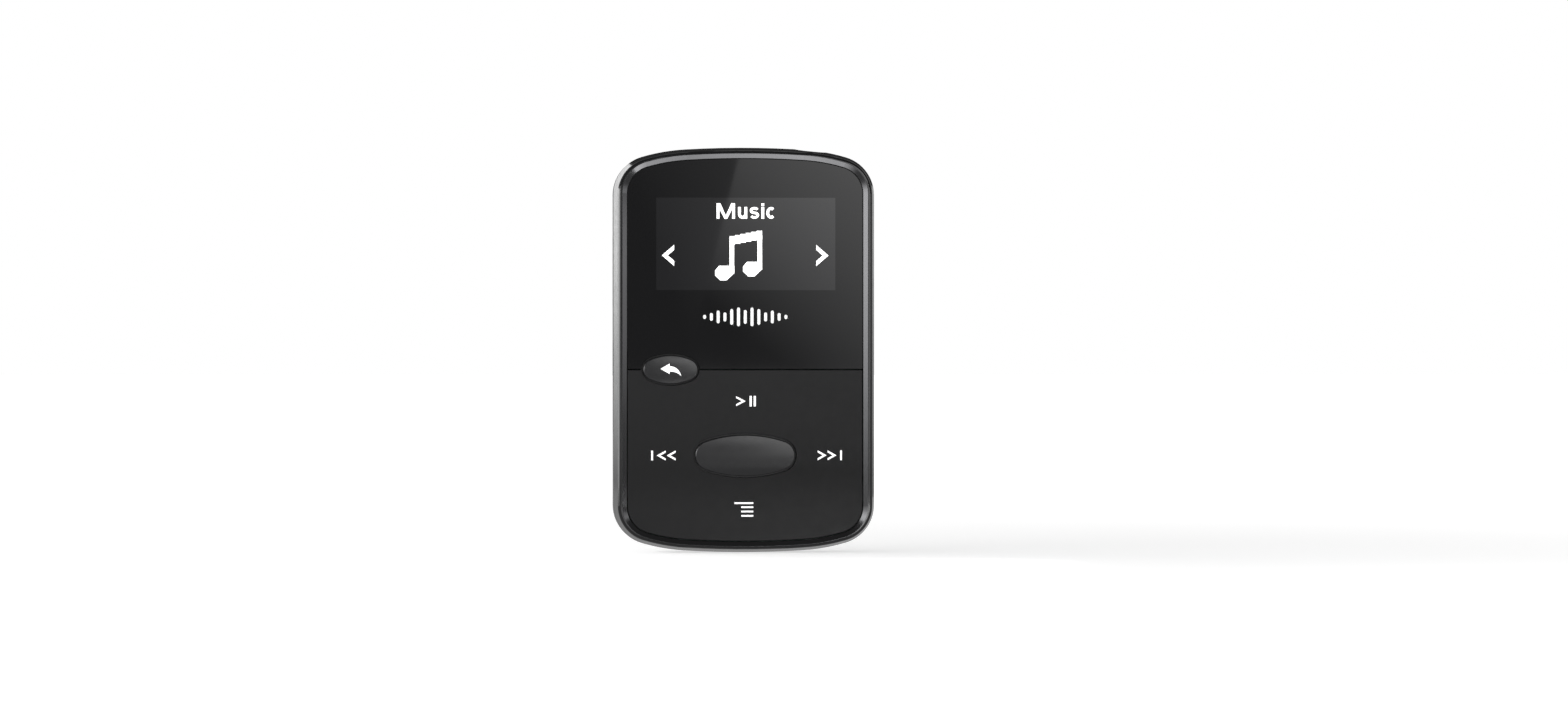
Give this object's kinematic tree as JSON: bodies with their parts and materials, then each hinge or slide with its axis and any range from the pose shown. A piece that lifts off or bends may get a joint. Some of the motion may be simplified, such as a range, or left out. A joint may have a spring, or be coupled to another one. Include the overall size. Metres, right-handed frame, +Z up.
{
  "type": "digital audio player",
  "caption": "Small clip-on digital audio player with a crowned slab body, display window above a rocking control pad, oval buttons, headphone and charging ports and a sprung garment clip.",
  "frame": {"origin": "centre of the body's flat back face, where the clip holds fabric", "axes": "+Z up along the body's length, -Y out of the display, +X to the right when facing the display"},
  "size_m": [0.0432, 0.0175, 0.067],
  "materials": {
    "front_plastic": "glossy black moulded plastic",
    "rear_plastic": "fine satin texture, black",
    "trim_metal": "smoke-dark plating",
    "lens": "polished black display cover",
    "pad_plastic": "satin black with printed white symbols",
    "button_plastic": "semi-gloss black",
    "side_key_plastic": "satin black",
    "clip_plastic": "fine satin texture, black",
    "elastomer": "soft black",
    "inner_plastic": "unpolished dark grey",
    "silicone": "translucent grey",
    "steel": "nickel plated",
    "spring_steel": "drawn wire",
    "contact_metal": "gold flash",
    "jack_plastic": "black moulded",
    "port_plastic": "black moulded",
    "board": "green solder mask",
    "chip_plastic": "moulded black",
    "ceramic": "tan ceramic",
    "display_glass": "dark bonded glass",
    "flex_film": "amber film",
    "foam": "open cell",
    "adhesive": "black double-sided",
    "battery_foil": "crimped pouch foil",
    "wire_red": "insulation",
    "wire_black": "insulation"
  },
  "bodies": {
    "root": {"front_housing": "front_plastic", "trim_ring": "trim_metal", "rear_housing": "rear_plastic", "screen_lens": "lens", "lens_tape": "adhesive", "display_panel": "display_glass", "display_flex": "flex_film", "flex_socket": "port_plastic", "display_foam": "foam", "keypad_frame": "inner_plastic", "keypad_mat": "silicone", "volume_up_switch": "port_plastic", "volume_down_switch": "port_plastic", "power_switch": "port_plastic", "headphone_jack": "jack_plastic", "jack_contacts": "contact_metal", "usb_shell": "steel", "usb_tongue": "port_plastic", "card_socket_base": "port_plastic", "card_socket_cover": "steel", "main_board": "board", "processor": "chip_plastic", "flash_memory": "chip_plastic", "power_chip": "chip_plastic", "radio_chip": "chip_plastic", "crystal": "steel", "power_inductor": "chip_plastic", "capacitors": "ceramic", "board_screws": "steel", "battery": "battery_foil", "battery_tape": "adhesive", "battery_guard_board": "board", "battery_wire_red": "wire_red", "battery_wire_black": "wire_black", "clip_spring": "spring_steel", "dome_switch_up": "steel", "dome_switch_down": "steel", "dome_switch_left": "steel", "dome_switch_right": "steel", "dome_switch_select": "steel", "dome_switch_return": "steel"},
    "nav_cradle": {"nav_cradle": "inner_plastic"},
    "nav_pad": {"nav_pad": "pad_plastic"},
    "select_button": {"select_button": "button_plastic"},
    "return_button": {"return_button": "button_plastic"},
    "volume_rocker": {"volume_rocker": "side_key_plastic"},
    "power_button": {"power_button": "side_key_plastic"},
    "clip": {"clip_lever": "clip_plastic", "clip_pad": "elastomer", "clip_pin": "steel"}
  },
  "joints": [
    {"name": "nav_tilt_side", "type": "hinge", "parent": "root", "child": "nav_cradle", "pos_m": [0, -0.00845, -0.0174], "axis": [0, 0, 1], "range_deg": [-0.9, 0.9], "stiffness_Nm_per_rad": 1.2},
    {"name": "nav_tilt_up", "type": "hinge", "parent": "nav_cradle", "child": "nav_pad", "pos_m": [0, -0.0093, -0.0174], "axis": [1, 0, 0], "range_deg": [-1.2, 1.2], "stiffness_Nm_per_rad": 1},
    {"name": "select_press", "type": "slide", "parent": "root", "child": "select_button", "axis": [0, 1, 0], "range_m": [0, 0.00035], "stiffness_N_per_m": 5000},
    {"name": "return_press", "type": "slide", "parent": "root", "child": "return_button", "axis": [0, 1, 0], "range_m": [0, 0.0003], "stiffness_N_per_m": 5000},
    {"name": "volume_rock", "type": "hinge", "parent": "root", "child": "volume_rocker", "pos_m": [-0.0194, -0.0042, -0.006], "axis": [0, 1, 0], "range_deg": [-2.5, 2.5], "stiffness_Nm_per_rad": 0.2},
    {"name": "power_press", "type": "slide", "parent": "root", "child": "power_button", "axis": [0, 0, -1], "range_m": [0, 0.0003], "stiffness_N_per_m": 5000},
    {"name": "clip_open", "type": "hinge", "parent": "root", "child": "clip", "pos_m": [0, 0.0029, 0.009], "axis": [1, 0, 0], "range_deg": [0, 14], "stiffness_Nm_per_rad": 0.3, "springref_deg": -18.91, "deforming": ["clip_spring"]}
  ]
}
